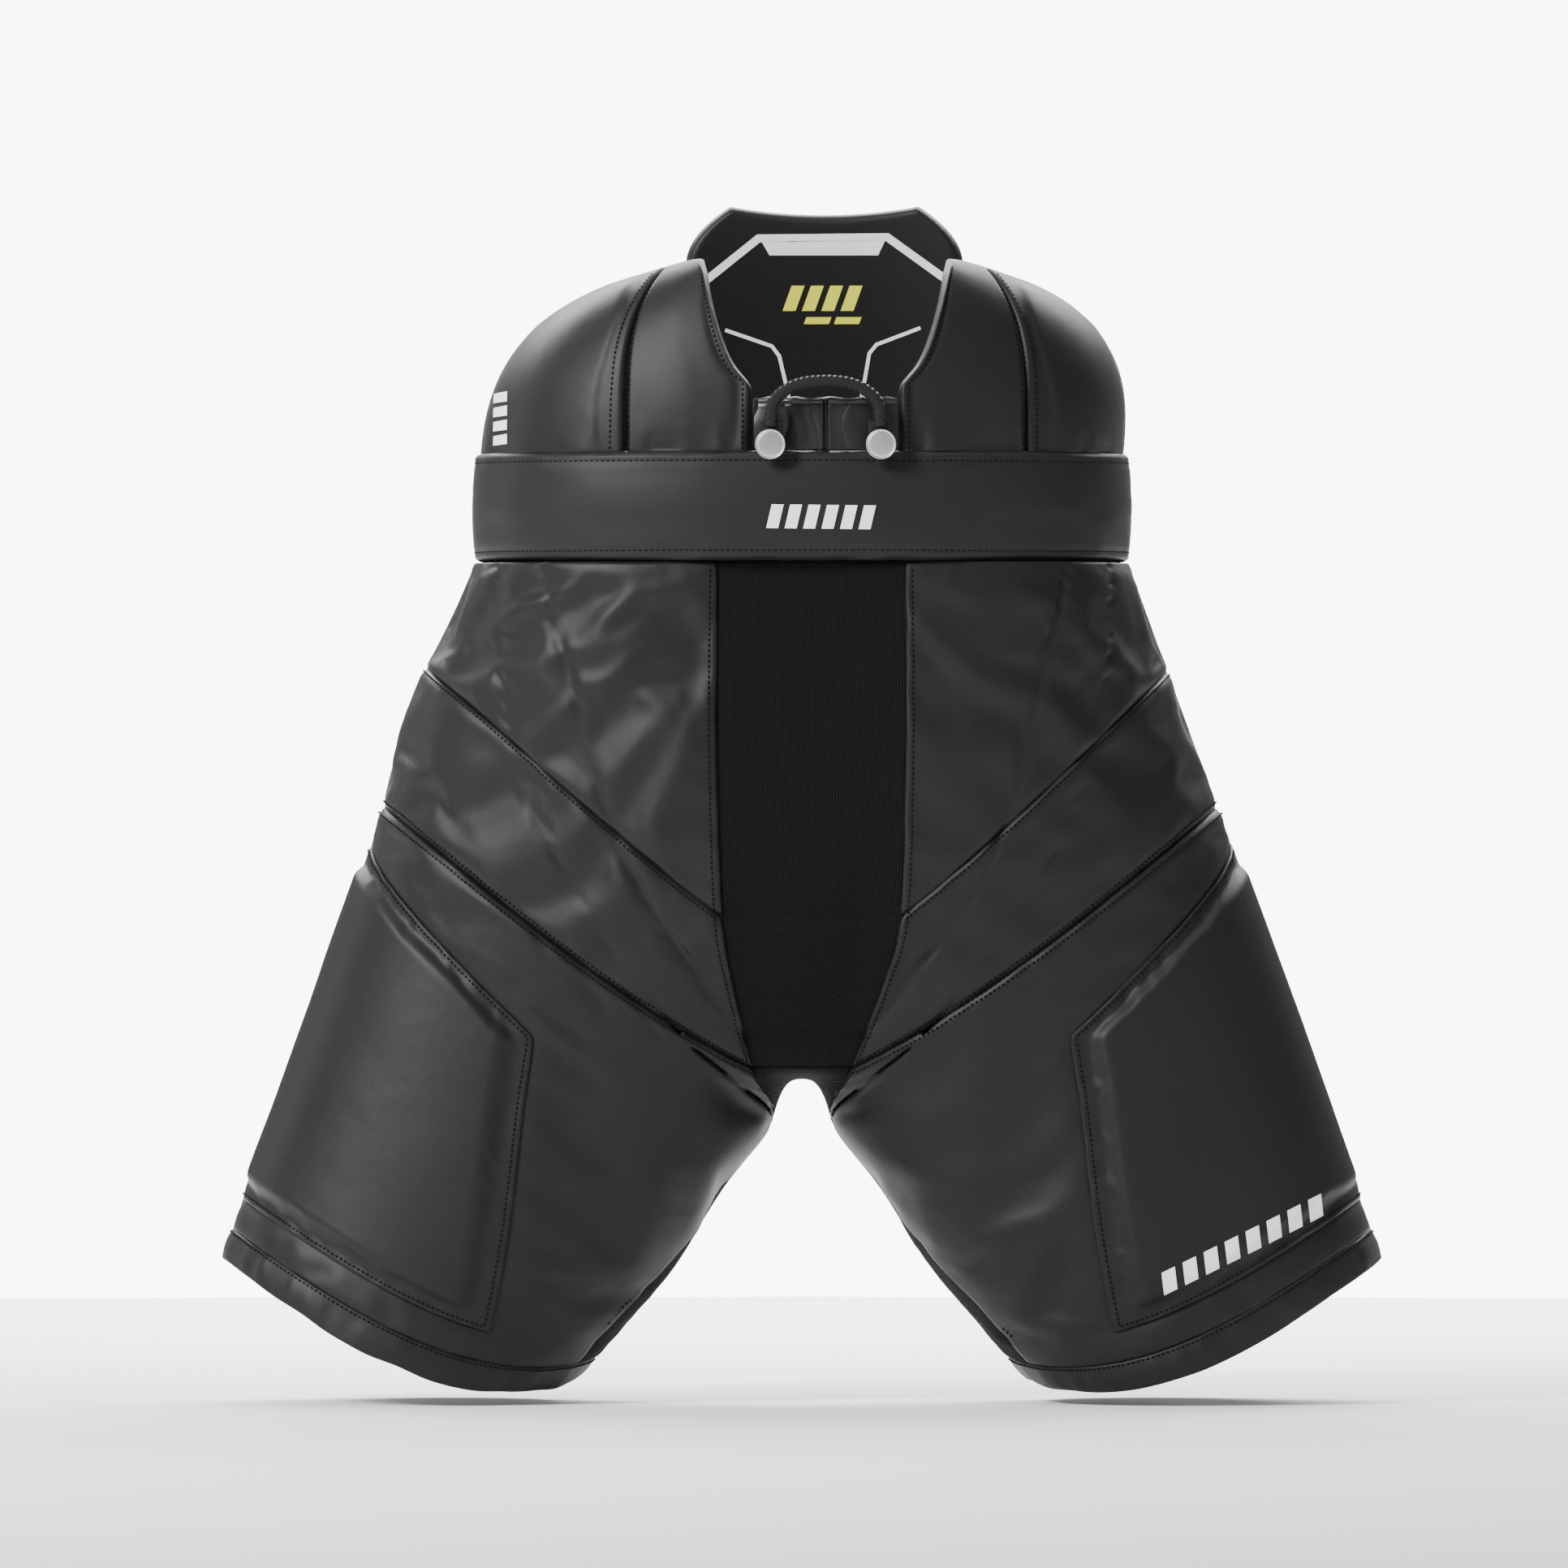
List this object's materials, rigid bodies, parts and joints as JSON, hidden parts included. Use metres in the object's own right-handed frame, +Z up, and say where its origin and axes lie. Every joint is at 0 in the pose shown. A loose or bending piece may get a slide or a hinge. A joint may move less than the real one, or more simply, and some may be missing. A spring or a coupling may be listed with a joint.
{
  "type": "ice hockey pants",
  "caption": "Padded sports pants with a wide belt, hip and kidney pads, a knit front panel and two wide legs with padded thigh pockets.",
  "frame": {"origin": "middle of the belt, where the wearer's waist holds the pants up", "axes": "+Z up towards the waist opening, -Y towards the front, +X to the right of a person facing the front"},
  "size_m": [0.572, 0.2231, 0.5839],
  "materials": {
    "nylon": "satin woven nylon",
    "satin": "shiny satin",
    "knit": "ribbed elastic knit",
    "foam": "covered foam",
    "plastic": "moulded",
    "webbing": "braided",
    "nickel": "brushed"
  },
  "bodies": {
    "shell": {"belt_front": "satin", "belt_back": "satin", "fly_gather": "satin", "yoke_left": "nylon", "yoke_right": "nylon", "hip_pad_left": "nylon", "hip_pad_right": "nylon", "front_upper_panel_left": "nylon", "front_upper_panel_right": "nylon", "front_mid_panel_left": "nylon", "front_mid_panel_right": "nylon", "seat_panel_left": "nylon", "seat_panel_right": "nylon", "front_stretch_panel": "knit", "rear_stretch_panel": "knit", "crotch_gusset": "knit", "tailbone_pad": "foam", "hip_insert_left": "foam", "hip_insert_right": "foam", "snap_stud_left": "nickel", "snap_stud_right": "nickel", "snap_post_left": "nickel", "snap_post_right": "nickel"},
    "left_leg": {"leg_front_panel_left": "nylon", "leg_rear_panel_left": "nylon", "inner_leg_panel_left": "knit", "thigh_pocket_left": "nylon", "thigh_shell_left": "plastic", "thigh_foam_left": "foam", "thigh_liner_left": "nylon", "hem_band_left": "nylon"},
    "right_leg": {"leg_front_panel_right": "nylon", "leg_rear_panel_right": "nylon", "inner_leg_panel_right": "knit", "thigh_pocket_right": "nylon", "thigh_shell_right": "plastic", "thigh_foam_right": "foam", "thigh_liner_right": "nylon", "hem_band_right": "nylon"},
    "kidney_pad": {"kidney_board": "satin", "kidney_foam": "foam"},
    "hang_loop": {"hang_loop": "webbing"},
    "left_snap": {"snap_cap_left": "nickel", "snap_socket_left": "nickel", "loop_tab_left": "webbing"},
    "right_snap": {"snap_cap_right": "nickel", "snap_socket_right": "nickel", "loop_tab_right": "webbing"}
  },
  "joints": [
    {"name": "left_leg_swing", "type": "hinge", "parent": "shell", "child": "left_leg", "pos_m": [-0.118, 0, -0.2933], "axis": [-1, 0, 0], "range_deg": [-12, 25], "stiffness_Nm_per_rad": 2},
    {"name": "right_leg_swing", "type": "hinge", "parent": "shell", "child": "right_leg", "pos_m": [0.118, 0, -0.2933], "axis": [-1, 0, 0], "range_deg": [-12, 25], "stiffness_Nm_per_rad": 2},
    {"name": "kidney_pad_tilt", "type": "hinge", "parent": "shell", "child": "kidney_pad", "pos_m": [0.0115, 0.096, 0.0279], "axis": [-1, 0, 0], "range_deg": [-6, 6], "stiffness_Nm_per_rad": 3},
    {"name": "hang_loop_swing", "type": "hinge", "parent": "shell", "child": "hang_loop", "pos_m": [0.0115, -0.1155, 0.0385], "axis": [1, 0, 0], "range_deg": [0, 70], "stiffness_Nm_per_rad": 0.01},
    {"name": "left_snap_pull", "type": "slide", "parent": "shell", "child": "left_snap", "axis": [0, -1, 0], "range_m": [0, 0.003]},
    {"name": "right_snap_pull", "type": "slide", "parent": "shell", "child": "right_snap", "axis": [0, -1, 0], "range_m": [0, 0.003]}
  ]
}
